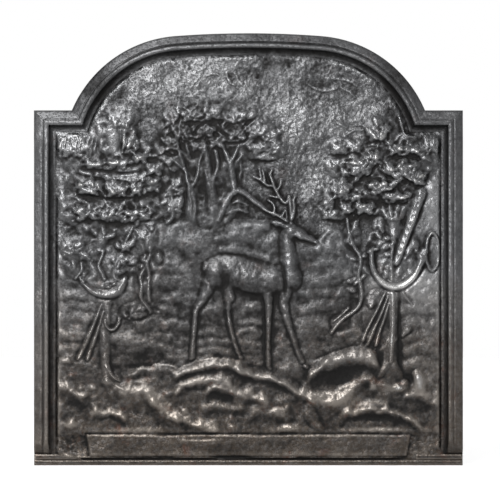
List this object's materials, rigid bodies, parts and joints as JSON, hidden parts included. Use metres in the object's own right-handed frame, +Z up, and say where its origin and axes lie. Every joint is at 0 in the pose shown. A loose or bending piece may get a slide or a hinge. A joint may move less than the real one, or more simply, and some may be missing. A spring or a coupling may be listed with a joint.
{
  "type": "fireback",
  "caption": "Cast-iron fireback with square shoulders, an arched top, a moulded border and a hunting scene in low relief: a stag between trees hung with trophies.",
  "frame": {"origin": "middle of the foot, half way between the back of the plate and the crest of the border bead", "axes": "+Z up, the picture faces -Y, +X to the right as seen from the front"},
  "size_m": [0.6, 0.024, 0.605],
  "materials": {
    "iron_field": "sand-cast iron, blackened, finely pitted, dull satin",
    "iron_border": "smooth cast iron, black stove polish, satin, worn bright along the bead",
    "iron_land": "smooth cast iron, blackened, brown with a trace of rust and soot",
    "iron_relief": "cast iron, graphite polished, burnished bright on the ridges"
  },
  "bodies": {
    "root": {"backplate": "iron_field", "stile_left": "iron_border", "stile_right": "iron_border", "shoulder_left": "iron_border", "shoulder_right": "iron_border", "haunch_left": "iron_border", "haunch_right": "iron_border", "arch_crown": "iron_border", "foot_rail": "iron_border", "corner_pads": "iron_border", "tablet": "iron_border", "ground_left": "iron_land", "ground_centre": "iron_land", "ground_right": "iron_land", "far_bank_left": "iron_land", "far_bank_right": "iron_land", "stag": "iron_relief", "antlers": "iron_relief", "back_trunks": "iron_relief", "back_foliage": "iron_relief", "left_trunk": "iron_relief", "left_crown": "iron_relief", "left_horn": "iron_relief", "left_spears": "iron_relief", "left_ribbon": "iron_relief", "left_quiver": "iron_relief", "right_trunk": "iron_relief", "right_crown": "iron_relief", "right_horn": "iron_relief", "right_baton": "iron_relief", "right_quiver": "iron_relief", "right_arrows": "iron_relief", "sapling": "iron_relief"}
  },
  "joints": []
}
